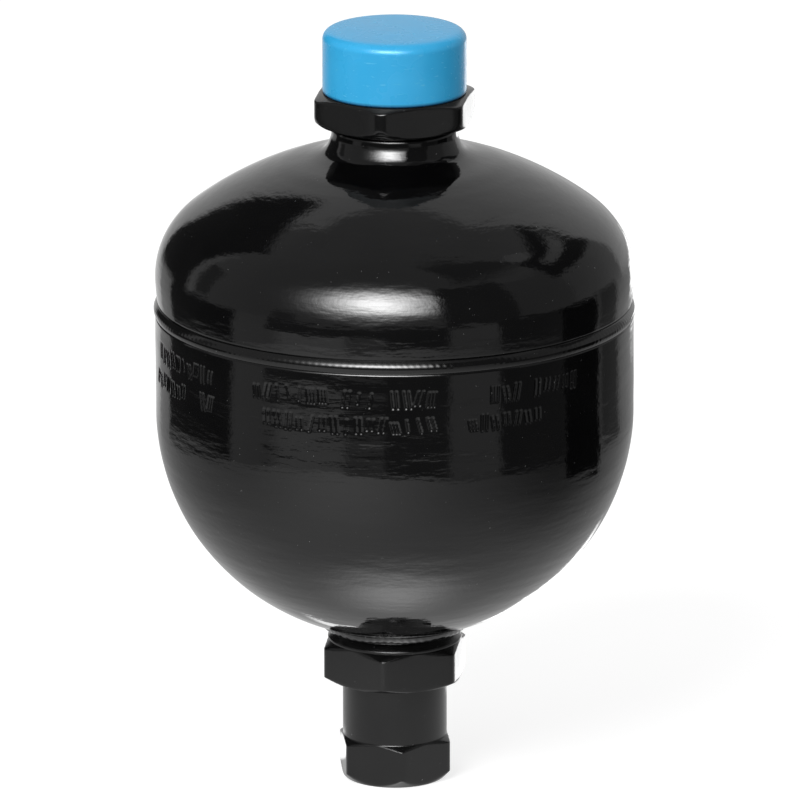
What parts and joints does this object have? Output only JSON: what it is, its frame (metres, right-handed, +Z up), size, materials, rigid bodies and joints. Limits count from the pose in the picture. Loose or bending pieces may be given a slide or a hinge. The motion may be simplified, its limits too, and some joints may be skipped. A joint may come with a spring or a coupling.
{
  "type": "bladder accumulator",
  "caption": "Welded hydraulic accumulator: near-spherical black steel vessel with a hexagonal oil port below, a hexagonal lock nut and a blue protective cap over its gas valve on top.",
  "frame": {"origin": "centre of the port adapter's flat end face, at the bottom of the standing vessel", "axes": "+Z up along the vessel's axis, from the oil port to the gas valve; -Y is the front"},
  "size_m": [0.1158, 0.1158, 0.1862],
  "materials": {
    "black_paint": "gloss black enamel over steel",
    "blue_cap": "smooth moulded sky-blue plastic",
    "turned_steel": "turned, bright",
    "spring_steel": "drawn wire",
    "valve_brass": "turned",
    "bladder_rubber": "matt moulded nitrile rubber",
    "seal_rubber": "smooth black rubber"
  },
  "bodies": {
    "vessel": {"upper_shell": "black_paint", "lower_shell": "black_paint", "girth_weld": "black_paint", "port_weld": "black_paint", "port_body": "black_paint", "port_adapter": "black_paint", "lock_nut": "black_paint", "gas_stem": "turned_steel", "seal_cap": "turned_steel", "poppet_guide": "turned_steel", "poppet_spring": "spring_steel", "valve_spring": "spring_steel", "valve_core": "valve_brass", "bladder": "bladder_rubber", "adapter_seal": "seal_rubber", "stem_o_ring": "seal_rubber", "valve_gasket": "seal_rubber", "seal_cap_gasket": "seal_rubber"},
    "poppet_body": {"poppet": "turned_steel", "poppet_stop_nut": "turned_steel"},
    "pin_body": {"valve_pin": "valve_brass", "valve_pin_seal": "seal_rubber"},
    "cap_body": {"protective_cap": "blue_cap"}
  },
  "joints": [
    {"name": "poppet_close", "type": "slide", "parent": "vessel", "child": "poppet_body", "axis": [0, 0, -1], "range_m": [0, 0.005], "stiffness_N_per_m": 600, "springref_m": -0.003, "deforming": ["poppet_spring"]},
    {"name": "valve_pin_press", "type": "slide", "parent": "vessel", "child": "pin_body", "axis": [0, 0, -1], "range_m": [0, 0.0015], "stiffness_N_per_m": 1500, "springref_m": -0.001, "deforming": ["valve_spring"]},
    {"name": "cap_pull_off", "type": "slide", "parent": "vessel", "child": "cap_body", "axis": [0, 0, 1], "range_m": [0, 0.02]}
  ]
}
